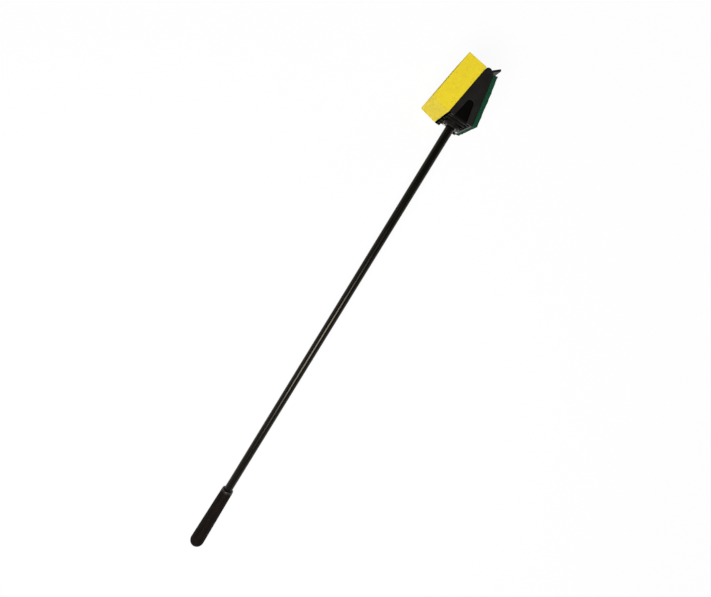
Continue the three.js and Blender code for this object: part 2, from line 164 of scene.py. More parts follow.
class HeadSettings(bpy.types.PropertyGroup):
    """Finish of the head's mouldings, its blade and its screws."""

    edge_round: size_property("Edge round", "Radius of the mouldings' edges", 0.5)
    end_wall: size_property("End wall", "Depth of the end walls", 3.2)
    # these settings, down to the nose fade, set painted shade in the head's hollow
    dark_start: size_property("Dark start", "Where the hollow starts to darken from the heel", 1.5)
    dark_end: size_property("Dark end", "Where the hollow is darkest from the heel", 9.0)
    dark_share: share_property("Dark share", "Share of colour and gloss left deep in the hollow", 0.22)
    nose_core: size_property("Nose core", "Solid length behind the nose", 22.0)
    nose_fade: size_property("Nose fade", "Length over which the hollow darkens behind the nose core", 11.0)
    # the next three settings place a strip of painted shade on the heel edge beside the sponge
    shade_strip_width: size_property("Film width", "Width of the film on the heel edge beside the sponge", 5.0)
    shade_strip_depth: size_property("Film depth", "How far the film reaches from the heel", 2.0)
    shade_strip_fade: size_property("Film fade", "Length over which the film fades", 1.0)
    colour: colour_property("Moulding", "Colour of the moulded plastic", "161411")
    rubber: colour_property("Rubber", "Colour of the blade", "0e0d0d")
    zinc: colour_property("Zinc", "Colour of the plated screws", "c4c6c4")
    recess_depth: size_property("Recess depth", "Depth of a screw's cross recess", 1.3)
    recess_width: size_property("Recess width", "Width of a screw's cross recess", 1.1)
    recess_wall: size_property("Recess wall", "Width of the slope along a recess's sides", 0.25)
    recess_end: size_property("Recess end", "Length of the slope at a recess's ends", 0.3)


class PoleSettings(bpy.types.PropertyGroup):
    """Sizes and colours of the pole and its threaded tip."""

    colour: colour_property("Paint", "Colour of the painted tube", "090706")
    nylon: colour_property("Nylon", "Colour of the moulded tip and bung", "262420")
    end_round: size_property("End round", "Radius of the tube's ends", 0.3)
    thread_pitch: size_property("Thread pitch", "Travel of one turn", 5.08)
    thread_depth: size_property("Thread depth", "Depth of the thread", 1.3)
    tip_chamfer: size_property("Tip chamfer", "Width of the bevel at the end of the thread", 1.6)
    pin_proud: size_property("Pin proud", "How far the pin's ends stand out", 0.35)


class GripSettings(bpy.types.PropertyGroup):
    """Sizes and colours of the grip."""

    rim_round: size_property("Rim round", "Radius of the rim", 2.4)
    rubbed_length: size_property("Rubbed length", "Length rubbed smooth below the rim", 8.0)
    bore_round: size_property("Bore round", "Radius of the bore's edge", 0.8)
    colour: colour_property("Vinyl", "Colour of the soft sleeve", "0d0907")
    stain: colour_property("Handled vinyl", "Colour where the sleeve has been handled", "1a110c")


class StageSettings(bpy.types.PropertyGroup):
    """The camera, the two lamps, the even light and the floor."""

    camera_place: place_property("Camera", "Place of the camera", (0.23818, 0.12072, 1.46425))
    camera_view: vector_property(
        "View", "Direction that the camera looks in", (-0.09666, -0.11571, -0.98857), subtype="DIRECTION")
    camera_up: vector_property(
        "Up", "Direction that is up in the picture", (0.85063, 0.50612, -0.14241), subtype="DIRECTION")
    camera_lens: size_property("Lens", "Focal length for a sensor of the width given", 27.957)
    camera_sensor: size_property("Sensor", "Width of the camera's sensor", 36.0)
    lamp_place: place_property("Lamp", "Place of the soft box", (-0.96, 0.25, 2.65))
    lamp_aim: place_property("Lamp aim", "Point that both lamps face", (0.3, 0.0, 0.05))
    lamp_length: number_property("Lamp length", "Length of the soft box along the pole", 0.85, unit="LENGTH")
    lamp_width: number_property("Lamp width", "Width of the soft box across the pole", 1.1, unit="LENGTH")
    lamp_power: number_property("Lamp power", "Power of the soft box", 90.0, unit="POWER")
    fill_place: place_property("Fill", "Place of the dim lamp before the nose", (3.0, -1.3, 0.7))
    fill_size: number_property("Fill size", "Width of the dim lamp", 1.4, unit="LENGTH")
    fill_power: number_property("Fill power", "Power of the dim lamp", 32.0, unit="POWER")
    sky: number_property("Sky", "Strength of the even light from all round", 0.08)
    floor_colour: colour_property("Floor", "Colour of the floor and backdrop", "f5f5f5")
    floor_glow: share_property("Floor glow", "Share of plain white in the floor as the camera sees it", 0.94)
    floor_radius: number_property("Floor radius", "Radius of the flat floor", 5.0, unit="LENGTH")
    sweep_radius: number_property("Sweep", "Radius of the curve from floor to backdrop", 1.2, unit="LENGTH")
    wall_height: number_property("Backdrop", "Height of the backdrop", 4.4, unit="LENGTH")


class SqueegeeSettings(bpy.types.PropertyGroup):
    """All settings of the tool."""

    sponge: bpy.props.PointerProperty(type=SpongeSettings, name="Sponge", description="The foam sponge")
    pad: bpy.props.PointerProperty(type=PadSettings, name="Pad", description="The scouring pad")
    head: bpy.props.PointerProperty(type=HeadSettings, name="Head", description="The wedge head")
    pole: bpy.props.PointerProperty(type=PoleSettings, name="Pole", description="The pole")
    grip: bpy.props.PointerProperty(type=GripSettings, name="Grip", description="The grip")
    stage: bpy.props.PointerProperty(type=StageSettings, name="Stage", description="Floor, lamps and camera")


# Places in the frame

def local_points(piece, axes=POLE_AXES):
    """Vertices of a piece along three directions from the heel, in millimetres."""
    points = np.empty(3 * len(piece.data.vertices), np.float32)
    piece.data.vertices.foreach_get("co", points)
    return (points.reshape(-1, 3).astype(float) - HEEL) @ axes.T / MM


def node_extent(node, axes=POLE_AXES):
    """Lowest and highest corner of a CAD node along three directions from the heel, in millimetres."""
    local = local_points(frame["nodes"][node], axes)
    return local.min(0), local.max(0)


def node_radii(node, past=-np.inf):
    """Smallest and largest distance from the pole's axis of a CAD node's vertices, in millimetres. Counts
    the vertices past a station along the pole."""
    local = local_points(frame["nodes"][node])
    radius = np.hypot(local[:, 1], local[:, 2])[local[:, 0] > past]
    return radius.min(), radius.max()


def face_axes(mount):
    """Axes of a plate from the mount on it: along towards the nose, outwards, and across."""
    found = next(m for m in frame["record"]["mounts"] if m["name"] == mount)
    outward = np.array(found["axis"])
    along = np.cross(outward, ACROSS)
    along *= np.sign(along @ ALONG)
    return np.array((along, outward, np.cross(along, outward)))


def in_frame(points, axes=POLE_AXES):
    """Points in millimetres along three axes from the heel, as metres in the frame."""
    return HEEL + points * MM @ axes


# Surfaces

def grid_faces(rows, columns, closed_rows=False, closed_columns=False):
    """Quads of a grid of points numbered row by row, closed on itself where asked."""
    row = np.arange(rows if closed_rows else rows - 1)[:, None]
    column = np.arange(columns if closed_columns else columns - 1)[None, :]
    next_row = (row + 1) % rows
    next_column = (column + 1) % columns
    corners = (row * columns + column, row * columns + next_column,
               next_row * columns + next_column, next_row * columns + column)
    return np.stack(corners, axis=-1).reshape(-1, 4)


def welded(points, faces):
    """Joins points that coincide. A quad with two corners in one place becomes a triangle.
    Returns the points, the quads, the triangles and, for each new point, an old one."""
    _, kept, number = np.unique(np.round(points, 5), axis=0, return_index=True, return_inverse=True)
    faces = number.reshape(-1)[faces]
    doubled = faces == np.roll(faces, -1, axis=1)
    split = doubled.any(axis=1)
    triangles = faces[split][~doubled[split]].reshape(-1, 3)
    return points[kept], faces[~split], triangles, kept


def turned(profile, steps, closed=False, lift=None):
    """A profile of (station, radius) turned round the pole's axis:
    x = station, y = radius cos t, z = radius sin t, where lift(station, radius, t) may change both."""
    station, radius = (part[:, None] for part in np.asarray(profile, float).T)
    angle = np.arange(steps)[None, :] * (2 * np.pi / steps)
    station, radius, angle = np.broadcast_arrays(station, radius, angle)
    if lift:
        station, radius = lift(station, radius, angle)
    points = np.stack((station, radius * np.cos(angle), radius * np.sin(angle)), axis=-1)
    return points.reshape(-1, 3), grid_faces(len(profile), steps, closed, True)


def arc(station, radius, round_radius, start, end, steps=8):
    """Profile points of a round corner about (station, radius), angles in degrees from the pole's line."""
    angle = np.radians(np.linspace(start, end, steps + 1))
    return np.column_stack((station + round_radius * np.cos(angle), radius + round_radius * np.sin(angle)))


def run(start, end, steps):
    """Profile points spaced evenly between two, without the ends."""
    share = np.linspace(0, 1, steps + 1)[1:-1, None]
    return np.asarray(start) * (1 - share) + np.asarray(end) * share


def rounded_block(size, radius, step):
    """A block about the origin with round edges, as six grids. A point q of the plain block moves to
    p = c + radius (q - c) / |q - c|, where c is the nearest point of the block that is smaller by radius.
    Returns the points, their outward directions and the quads."""
    half = np.asarray(size) / 2
    counts = np.maximum(np.round(np.asarray(size) / step).astype(int), 2)
    points, faces, total = [], [], 0
    for axis in range(3):
        first, second = (a for a in range(3) if a != axis)
        for sign in (-1, 1):
            sheet = np.empty((counts[first] + 1, counts[second] + 1, 3))
            sheet[..., first] = np.linspace(-half[first], half[first], counts[first] + 1)[:, None]
            sheet[..., second] = np.linspace(-half[second], half[second], counts[second] + 1)[None, :]
            sheet[..., axis] = sign * half[axis]
            points.append(sheet.reshape(-1, 3))
            faces.append(grid_faces(*sheet.shape[:2]) + total)
            total += len(points[-1])
    plain = np.concatenate(points)
    core = np.clip(plain, radius - half, half - radius)
    outward = plain - core
    outward /= np.linalg.norm(outward, axis=1, keepdims=True)
    return core + radius * outward, outward, np.concatenate(faces)


# Patterns worked out on points

def steady(cells, salt):
    """A number from 0 to 1 for each cell of whole numbers, the same on every run: the cell's numbers times
    large odd ones, with their bits mixed twice."""
    first, second, third = (cells[..., axis].astype(np.int64) for axis in range(3))
    mixed = (first * 374761393 + second * 668265263 + third * 1440662683 + salt * 974634777) & 0xFFFFFFFF
    mixed = ((mixed ^ (mixed >> 13)) * 1274126177) & 0xFFFFFFFF
    return ((mixed ^ (mixed >> 16)) & 0xFFFFFF) / 0xFFFFFF


def waves(points, length, salt):
    """Smooth noise from -1 to 1: a steady number at each corner of a lattice, blended in between."""
    scaled = points / length
    cell = np.floor(scaled)
    share = scaled - cell
    share = share * share * (3 - 2 * share)
    total = np.zeros(len(points))
    for corner in np.ndindex(2, 2, 2):
        weight = np.prod(np.where(corner, share, 1 - share), axis=1)
        total += weight * steady(cell + corner, salt)
    return 2 * total - 1


def pits(points, spacing, small, large, salt):
    """Depth from 0 to 1 of round pits: one about each cell of a lattice, set off at random in it,
    with a random radius. Depth falls as 1 - d^2 / r^2 from the pit's middle, and larger pits are deeper."""
    cell = np.floor(points / spacing)
    depth = np.zeros(len(points))
    for offset in np.ndindex(3, 3, 3):
        near = cell + offset - 1
        middle = (near + np.stack([steady(near, salt + axis) for axis in range(3)], axis=1)) * spacing
        radius = small + (large - small) * steady(near, salt + 3) ** 2
        distance = np.sum((points - middle) ** 2, axis=1)
        depth = np.maximum(depth, np.clip(1 - distance / radius ** 2, 0, None) * radius / large)
    return depth


# Materials

def rgba(colour):
    """A colour with full cover."""
    return (*colour, 1.0)


def shade(colour, factor):
    """A colour made lighter or darker."""
    return tuple(channel * factor for channel in colour)


def per(size):
    """Scale of a pattern whose features lie that many millimetres apart."""
    return 1 / (size * MM)


def add_node(tree, kind, settings=None, links=None, stops=()):
    """Adds a node. Settings are values of its sockets or of its own options, links are the (node, output)
    that its sockets read, and stops are the places and colours of a ramp."""
    made = tree.nodes.new(kind)
    for name, value in (settings or {}).items():
        if isinstance(name, int) or name in made.inputs:
            made.inputs[name].default_value = value
        else:
            setattr(made, name, value)
    for name, (source, output) in (links or {}).items():
        tree.links.new(source.outputs[output], made.inputs[name])
    for number, (position, colour) in enumerate(stops):
        made.color_ramp.elements[number].position = position
        made.color_ramp.elements[number].color = rgba(colour)
    return made


def new_material(name):
    """An empty material. Returns it with its node tree."""
    material = bpy.data.materials.new(name)
    material.use_nodes = True
    material.node_tree.nodes.clear()
    return material, material.node_tree


def finished(material, shader):
    """A material that shows a shader."""
    add_node(material.node_tree, "ShaderNodeOutputMaterial", None, {"Surface": (shader, 0)})
    return material


def painted_shade_share(tree, place, head):
    """Painted shade on the head: a share from 1 on its outer faces to nearly 0 deep in its hollow, by which
    its colour and gloss are darkened. Measured from the heel along the pole's axes: the painted shade starts
    behind the end walls and deepens from the heel, and a strip of painted shade darkens the heel edge beside
    the sponge."""
    nose, _, half_width = node_extent("head_shell")[1]
    # where the strip of painted shade on the heel edge beside the sponge begins
    film = node_extent("sponge_tape")[1][1] - head.shade_strip_width
    from_heel = add_node(tree, "ShaderNodeVectorMath", {"operation": "SUBTRACT", 1: tuple(HEEL)}, {0: place})
    along, side, across = (
        add_node(tree, "ShaderNodeVectorMath", {"operation": "DOT_PRODUCT", 1: tuple(axis)},
                 {0: (from_heel, "Vector")}) for axis in POLE_AXES)
    width = add_node(tree, "ShaderNodeMath", {"operation": "ABSOLUTE"}, {0: (across, "Value")})
    zones = (
        (along, head.dark_start, head.dark_end),  # deep in from the heel
        (along, nose - head.nose_core, nose - head.nose_core - head.nose_fade),  # short of the nose
        (width, half_width - head.edge_round, half_width - head.end_wall),  # behind an end wall
        (side, film, film + head.shade_strip_fade),  # beside the sponge
        (along, head.shade_strip_depth, head.shade_strip_depth - head.shade_strip_fade),  # at the heel
    )
    deep, short, behind, beside, heel = (
        add_node(tree, "ShaderNodeMapRange", {"From Min": start * MM, "From Max": end * MM},
                 {"Value": (measure, "Value")}) for measure, start, end in zones)
    inside = add_node(tree, "ShaderNodeMath", {"operation": "MULTIPLY"},
                      {0: (deep, "Result"), 1: (short, "Result")})
    hollow = add_node(tree, "ShaderNodeMath", {"operation": "MULTIPLY"},
                      {0: (inside, "Value"), 1: (behind, "Result")})
    shaded = add_node(tree, "ShaderNodeMapRange", {"To Min": 1.0, "To Max": head.dark_share},
                      {"Value": (hollow, "Value")})
    # painted shade on the heel edge beside the sponge, and the share of light it leaves
    heel_shade = add_node(tree, "ShaderNodeMath", {"operation": "MULTIPLY"},
                      {0: (beside, "Result"), 1: (heel, "Result")})
    clean = add_node(tree, "ShaderNodeMath", {"operation": "SUBTRACT", 0: 1.0}, {1: (heel_shade, "Value")})
    return add_node(tree, "ShaderNodeMath", {"operation": "MULTIPLY"},
                    {0: (shaded, "Result"), 1: (clean, "Value")})


def moulded_plastic(name, colour, roughness, head=None):
    """Black polypropylene from a fine-etched mould: dark, with a soft sheen that breaks up in the etch and a
    slow change of gloss where it has been handled. Inside the head its colour and gloss are darkened as painted
    shade, deepest in the hollow, and a strip of painted shade darkens the heel edge beside the sponge. The etch
    is about 0.2 mm wide, and is drawn at 0.9 mm so that it shows."""
    material, tree = new_material(name)
    place = add_node(tree, "ShaderNodeTexCoord"), "Object"
    etch = add_node(tree, "ShaderNodeTexNoise", {"Scale": per(0.9), "Detail": 3.0, "Roughness": 0.6},
                    {"Vector": place})
    cloud = add_node(tree, "ShaderNodeTexNoise", {"Scale": per(28), "Detail": 4.0, "Roughness": 0.55},
                     {"Vector": place})
    tint = add_node(tree, "ShaderNodeValToRGB", None, {"Fac": (cloud, "Fac")},
                    ((0.35, shade(colour, 0.8)), (0.7, shade(colour, 1.25))))
    gloss = add_node(tree, "ShaderNodeMapRange", {"To Min": roughness - 0.07, "To Max": roughness + 0.09},
                     {"Value": (cloud, "Fac")})
    bump = add_node(tree, "ShaderNodeBump", {"Strength": 0.25, "Distance": 0.08 * MM},
                    {"Height": (etch, "Fac")})
    sheen = 0.2
    links = {"Base Color": (tint, "Color"), "Roughness": (gloss, "Result"), "Normal": (bump, "Normal")}
    if head:
        # painted shade: colour and gloss fall with the share of light left on the head's faces
        reach = painted_shade_share(tree, place, head)
        deep = add_node(
            tree, "ShaderNodeMix", {"data_type": "RGBA", "blend_type": "MULTIPLY", "Factor": 1.0},
            {6: (tint, "Color"), 7: (reach, "Value")})
        shine = add_node(tree, "ShaderNodeMath", {"operation": "MULTIPLY", 1: sheen}, {0: (reach, "Value")})
        links.update({"Base Color": (deep, 2), "Specular IOR Level": (shine, "Value")})
    shader = add_node(tree, "ShaderNodeBsdfPrincipled", {"IOR": 1.49, "Specular IOR Level": sheen}, links)
    return finished(material, shader)


def moulded_rubber(name, colour):
    """Black extruded rubber: dull, with faint draw lines along its length and a bloom of paler dust. The
    lines are about 0.2 mm apart, and are drawn at 0.7 mm so that they show."""
    material, tree = new_material(name)
    place = add_node(tree, "ShaderNodeTexCoord"), "Object"
    drawn = add_node(tree, "ShaderNodeMapping", {"Scale": (1.0, 1.0, 0.05)}, {"Vector": place})
    lines = add_node(tree, "ShaderNodeTexNoise", {"Scale": per(0.7), "Detail": 2.0},
                     {"Vector": (drawn, "Vector")})
    bloom = add_node(tree, "ShaderNodeTexNoise", {"Scale": per(9), "Detail": 5.0}, {"Vector": place})
    tint = add_node(tree, "ShaderNodeValToRGB", None, {"Fac": (bloom, "Fac")},
                    ((0.4, colour), (0.8, shade(colour, 1.6))))
    gloss = add_node(tree, "ShaderNodeMapRange", {"To Min": 0.45, "To Max": 0.62}, {"Value": (bloom, "Fac")})
    bump = add_node(tree, "ShaderNodeBump", {"Strength": 0.2, "Distance": 0.06 * MM},
                    {"Height": (lines, "Fac")})
    shader = add_node(
        tree, "ShaderNodeBsdfPrincipled", {"IOR": 1.52, "Specular IOR Level": 0.18},
        {"Base Color": (tint, "Color"), "Roughness": (gloss, "Result"), "Normal": (bump, "Normal")})
    return finished(material, shader)


def zinc_plate(name, colour):
    """Bright zinc plate on steel: pale metal with a fine crystal haze and duller patches. The crystals are
    about 0.1 mm wide, and the haze is drawn at 1.2 mm so that it shows."""
    material, tree = new_material(name)
    place = add_node(tree, "ShaderNodeTexCoord"), "Object"
    haze = add_node(tree, "ShaderNodeTexNoise", {"Scale": per(1.2), "Detail": 4.0}, {"Vector": place})
    tint = add_node(tree, "ShaderNodeValToRGB", None, {"Fac": (haze, "Fac")},
                    ((0.3, shade(colour, 0.75)), (0.7, colour)))
    gloss = add_node(tree, "ShaderNodeMapRange", {"To Min": 0.25, "To Max": 0.5}, {"Value": (haze, "Fac")})
    shader = add_node(tree, "ShaderNodeBsdfPrincipled", {"Metallic": 1.0},
                      {"Base Color": (tint, "Color"), "Roughness": (gloss, "Result")})
    return finished(material, shader)


def open_cell_foam(name, settings):
    """Cut polyurethane foam: a mass of small open cells that scatter light, so it looks matt and deep
    yellow. The pores are darkened towards amber as painted shade, deepest in the larger pores, so the cut
    struts round them read paler. The small cells are about 0.8 mm wide, and are drawn at 1.5 mm so that they
    show."""
    material, tree = new_material(name)
    place = add_node(tree, "ShaderNodeTexCoord"), "Object"
    depth = add_node(tree, "ShaderNodeAttribute", {"attribute_name": "pore"})
    cells = add_node(tree, "ShaderNodeTexVoronoi", {"Scale": per(1.5), "Randomness": 1.0}, {"Vector": place})
    cloud = add_node(tree, "ShaderNodeTexNoise", {"Scale": per(16), "Detail": 4.0, "Roughness": 0.6},
                     {"Vector": place})
    skin = add_node(tree, "ShaderNodeValToRGB", None, {"Fac": (cloud, "Fac")},
                    ((0.3, shade(settings.colour, 0.93)), (0.7, settings.colour)))
    # painted shade: the pits and the middles of the small cells are darkened towards the pores' colour
    fine = add_node(tree, "ShaderNodeMapRange", {"From Max": 0.55, "To Min": 0.4, "To Max": 0.0},
                    {"Value": (cells, "Distance")})
    hollow = add_node(tree, "ShaderNodeMath", {"operation": "MAXIMUM", "use_clamp": True},
                      {0: (depth, "Fac"), 1: (fine, "Result")})
    colour = add_node(tree, "ShaderNodeMix", {"data_type": "RGBA", 7: rgba(settings.pore_shade_colour)},
                      {"Factor": (hollow, "Value"), 6: (skin, "Color")})
    bump = add_node(tree, "ShaderNodeBump", {"Strength": 0.5, "Distance": 0.35 * MM},
                    {"Height": (cells, "Distance")})
    shader = add_node(
        tree, "ShaderNodeBsdfPrincipled",
        {"Roughness": 0.9, "Specular IOR Level": 0.2, "Sheen Weight": 0.05, "Sheen Roughness": 0.45,
         "Sheen Tint": (1.0, 0.95, 0.7, 1.0)},
        {"Base Color": (colour, 2), "Normal": (bump, "Normal")})
    return finished(material, shader)


def nonwoven_fibre(name, settings):
    """Nonwoven nylon web: matted curly fibres bonded with abrasive resin. Its colour is painted light: single
    green strands painted as lit over nearly black gaps in painted shade. The strands are about 1 mm apart, and
    are drawn at 2.6 mm so that they show."""
    material, tree = new_material(name)
    place = add_node(tree, "ShaderNodeTexCoord"), "Object"
    bend = add_node(tree, "ShaderNodeTexNoise", {"Scale": per(5), "Detail": 2.0}, {"Vector": place})
    offset = add_node(tree, "ShaderNodeVectorMath", {"operation": "SCALE", "Scale": 6 * MM},
                      {0: (bend, "Color")})
    moved = add_node(tree, "ShaderNodeVectorMath", {"operation": "ADD"}, {0: place, 1: (offset, "Vector")})
    strands = add_node(tree, "ShaderNodeTexVoronoi", {"feature": "DISTANCE_TO_EDGE", "Scale": per(2.6)},
                       {"Vector": (moved, "Vector")})
    mat = add_node(tree, "ShaderNodeTexNoise", {"Scale": per(1.1), "Detail": 4.0, "Roughness": 0.7},
                   {"Vector": (moved, "Vector")})
    web = add_node(tree, "ShaderNodeMapRange", {"From Max": 0.16, "To Min": 1.0, "To Max": 0.0},
                   {"Value": (strands, "Distance")})
    lit = add_node(tree, "ShaderNodeMath", {"operation": "MULTIPLY_ADD", 1: 0.55},
                   {0: (web, "Result"), 2: (mat, "Fac")})
    # painted light: lit strands over gaps in painted shade
    tint = add_node(tree, "ShaderNodeValToRGB", None, {"Fac": (lit, "Value")},
                    ((0.3, settings.gap_shade_colour), (0.85, settings.colour)))
    bump = add_node(tree, "ShaderNodeBump", {"Strength": 0.7, "Distance": 0.4 * MM},
                    {"Height": (lit, "Value")})
    shader = add_node(tree, "ShaderNodeBsdfPrincipled", {"Roughness": 0.8, "Specular IOR Level": 0.1},
                      {"Base Color": (tint, "Color"), "Normal": (bump, "Normal")})
    return finished(material, shader)


def bonding_sheet(name):
    """Dark bonding sheet: a flat matt film with a faint woven backing at its edge."""
    material, tree = new_material(name)
    place = add_node(tree, "ShaderNodeTexCoord"), "Object"
    weave = add_node(tree, "ShaderNodeTexNoise", {"Scale": per(0.8), "Detail": 2.0}, {"Vector": place})
    tint = add_node(tree, "ShaderNodeValToRGB", None, {"Fac": (weave, "Fac")},
                    ((0.0, linear("14110c")), (1.0, linear("2c2419"))))
    gloss = add_node(tree, "ShaderNodeMapRange", {"To Min": 0.7, "To Max": 0.9}, {"Value": (weave, "Fac")})
    shader = add_node(tree, "ShaderNodeBsdfPrincipled", {"Specular IOR Level": 0.3},
                      {"Base Color": (tint, "Color"), "Roughness": (gloss, "Result")})
    return finished(material, shader)


def baked_paint(name, colour):
    """Black baked enamel on steel tube: a smooth gloss with a slight orange peel, so a lamp shows as a
    soft warm line along the tube, with faint rubbed patches."""
    material, tree = new_material(name)
    place = add_node(tree, "ShaderNodeTexCoord"), "Object"
    peel = add_node(tree, "ShaderNodeTexNoise", {"Scale": per(2.2), "Detail": 2.0}, {"Vector": place})
    rub = add_node(tree, "ShaderNodeTexNoise", {"Scale": per(30), "Detail": 5.0, "Roughness": 0.6},
                   {"Vector": place})
    tint = add_node(tree, "ShaderNodeValToRGB", None, {"Fac": (rub, "Fac")},
                    ((0.35, shade(colour, 0.85)), (0.75, shade(colour, 1.2))))
    gloss = add_node(tree, "ShaderNodeMapRange", {"To Min": 0.2, "To Max": 0.3}, {"Value": (rub, "Fac")})
    bump = add_node(tree, "ShaderNodeBump", {"Strength": 0.12, "Distance": 0.05 * MM},
                    {"Height": (peel, "Fac")})
    shader = add_node(
        tree, "ShaderNodeBsdfPrincipled",
        {"IOR": 1.5, "Specular IOR Level": 0.17, "Specular Tint": rgba(linear("fff2d8"))},
        {"Base Color": (tint, "Color"), "Roughness": (gloss, "Result"), "Normal": (bump, "Normal")})
    return finished(material, shader)


def soft_vinyl(name, settings):
    """Dipped soft vinyl: a matt skin with a fine leathery grain and brownish patches from the hand, rubbed
    smooth at its rim. The grain's colour is painted shade, lighter on the pebbles' tops and darker between
    them. The grain is about 0.6 mm wide, and is drawn at 1.6 mm so that it shows."""
    material, tree = new_material(name)
    place = add_node(tree, "ShaderNodeTexCoord"), "Object"
    rubbed = add_node(tree, "ShaderNodeAttribute", {"attribute_name": "rubbed"})
    grain = add_node(tree, "ShaderNodeTexVoronoi", {"Scale": per(1.6), "Randomness": 1.0}, {"Vector": place})
    hand = add_node(tree, "ShaderNodeTexNoise", {"Scale": per(17), "Detail": 4.0, "Roughness": 0.6},
                    {"Vector": place})
    tint = add_node(tree, "ShaderNodeValToRGB", None, {"Fac": (hand, "Fac")},
                    ((0.4, settings.colour), (0.75, settings.stain)))
    # painted shade of the grain: lighter on the pebbles' tops, darker in the crevices
    pebble_shade = add_node(tree, "ShaderNodeMapRange", {"From Max": 0.7, "To Min": 2.0, "To Max": 0.5},
                       {"Value": (grain, "Distance")})
    skin = add_node(tree, "ShaderNodeMix", {"data_type": "RGBA", "blend_type": "MULTIPLY", "Factor": 1.0},
                    {6: (tint, "Color"), 7: (pebble_shade, "Result")})
    dull = add_node(tree, "ShaderNodeMapRange", {"To Min": 0.55, "To Max": 0.75}, {"Value": (hand, "Fac")})
    gloss = add_node(tree, "ShaderNodeMath", {"operation": "MULTIPLY_ADD", 1: -0.4, "use_clamp": True},
                     {0: (rubbed, "Fac"), 2: (dull, "Result")})
    sheen = add_node(tree, "ShaderNodeMapRange", {"To Min": 0.05, "To Max": 0.42},
                     {"Value": (rubbed, "Fac")})
    bump = add_node(tree, "ShaderNodeBump", {"Strength": 0.6, "Distance": 0.2 * MM, "invert": True},
                    {"Height": (grain, "Distance")})
    shader = add_node(
        tree, "ShaderNodeBsdfPrincipled", {"IOR": 1.5},
        {"Base Color": (skin, 2), "Roughness": (gloss, "Value"), "Specular IOR Level": (sheen, "Result"),
         "Normal": (bump, "Normal")})
    return finished(material, shader)


def studio_paper(name, settings):
    """White studio paper: matt and pale, shown mostly as plain white to the camera and in reflections, with
    a share of its true shading so that it keeps the tool's shadow."""
    material, tree = new_material(name)
    paper = add_node(tree, "ShaderNodeBsdfDiffuse", {"Color": rgba(settings.floor_colour)})
    white = add_node(tree, "ShaderNodeEmission", {"Color": WHITE, "Strength": 1.0})
    path = add_node(tree, "ShaderNodeLightPath")
    direct = add_node(tree, "ShaderNodeMath", {"operation": "MAXIMUM"},
                      {0: (path, "Is Camera Ray"), 1: (path, "Is Glossy Ray")})
    seen = add_node(tree, "ShaderNodeMath", {"operation": "MAXIMUM"},
                    {0: (direct, "Value"), 1: (path, "Is Transmission Ray")})
    share = add_node(tree, "ShaderNodeMath", {"operation": "MULTIPLY", 1: settings.floor_glow},
                     {0: (seen, "Value")})
    mix = add_node(tree, "ShaderNodeMixShader", None,
                   {0: (share, "Value"), 1: (paper, "BSDF"), 2: (white, "Emission")})
    return finished(material, mix)


# Pieces

def add_mesh(name, points, quads, triangles, material):
    """A smooth mesh of points in metres, in the scene."""
    mesh = bpy.data.meshes.new(name)
    mesh.from_pydata(points.tolist(), [], quads.tolist() + triangles.tolist())
    mesh.polygons.foreach_set("use_smooth", np.ones(len(mesh.polygons), bool))
    mesh.materials.append(material)
    mesh.update()
    made = bpy.data.objects.new(name, mesh)
    bpy.context.scene.collection.objects.link(made)
    return made


def add_piece(name, points, quads, triangles, material, body, replaced=()):
    """A new piece of the tool from points in metres, turned the right way out, riding on a CAD body."""
    corners = points[np.concatenate((quads[:, :3], quads[:, (0, 2, 3)], triangles))]
    volume = np.einsum("ij,ij->", corners[:, 0], np.cross(corners[:, 1], corners[:, 2]))
    if volume < 0:
        quads, triangles = quads[:, ::-1], triangles[:, ::-1]
    piece = add_mesh(name, points, quads, triangles, material)
    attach(piece, body)
    if replaced:
        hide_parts(*replaced)
    return piece


def add_turned(name, profile, material, body, replaced, steps=ROUND_STEPS, closed=False, lift=None,
               shift=(0, 0, 0)):
    """A piece turned round the pole's axis, or round a line beside it."""
    points, faces = turned(profile, steps, closed, lift)
    points, quads, triangles, _ = welded(points + np.asarray(shift), faces)
    return add_piece(name, in_frame(points), quads, triangles, material, body, replaced)


def mark_points(piece, name, values):
    """Keeps a number at each point of a piece, for its material."""
    mark = piece.data.attributes.new(name, "FLOAT", "POINT")
    mark.data.foreach_set("value", values.astype(np.float32))


def add_modifier(piece, name, kind, **settings):
    """Adds a modifier with its settings."""
    made = piece.modifiers.new(name, kind)
    for setting, value in settings.items():
        setattr(made, setting, value)


def finish_node(node, material, edge_round):
    """Gives a CAD node its material and rounds its edges without changing its own mesh: its loose triangles
    are joined, those in one plane become one face, and the edges between faces are bevelled."""
    piece = frame["nodes"][node]
    piece.data.materials.clear()
    piece.data.materials.append(material)
    piece.data.polygons.foreach_set("use_smooth", np.ones(len(piece.data.polygons), bool))
    add_modifier(piece, "weld", "WELD", merge_threshold=0.002 * MM)
    add_modifier(piece, "flats", "DECIMATE", decimate_type="DISSOLVE", angle_limit=math.radians(0.5))
    add_modifier(piece, "edges", "BEVEL", width=edge_round * MM, segments=2, limit_method="ANGLE",
                 angle_limit=math.radians(35))
    add_modifier(piece, "normals", "WEIGHTED_NORMAL", weight=80, keep_sharp=True)


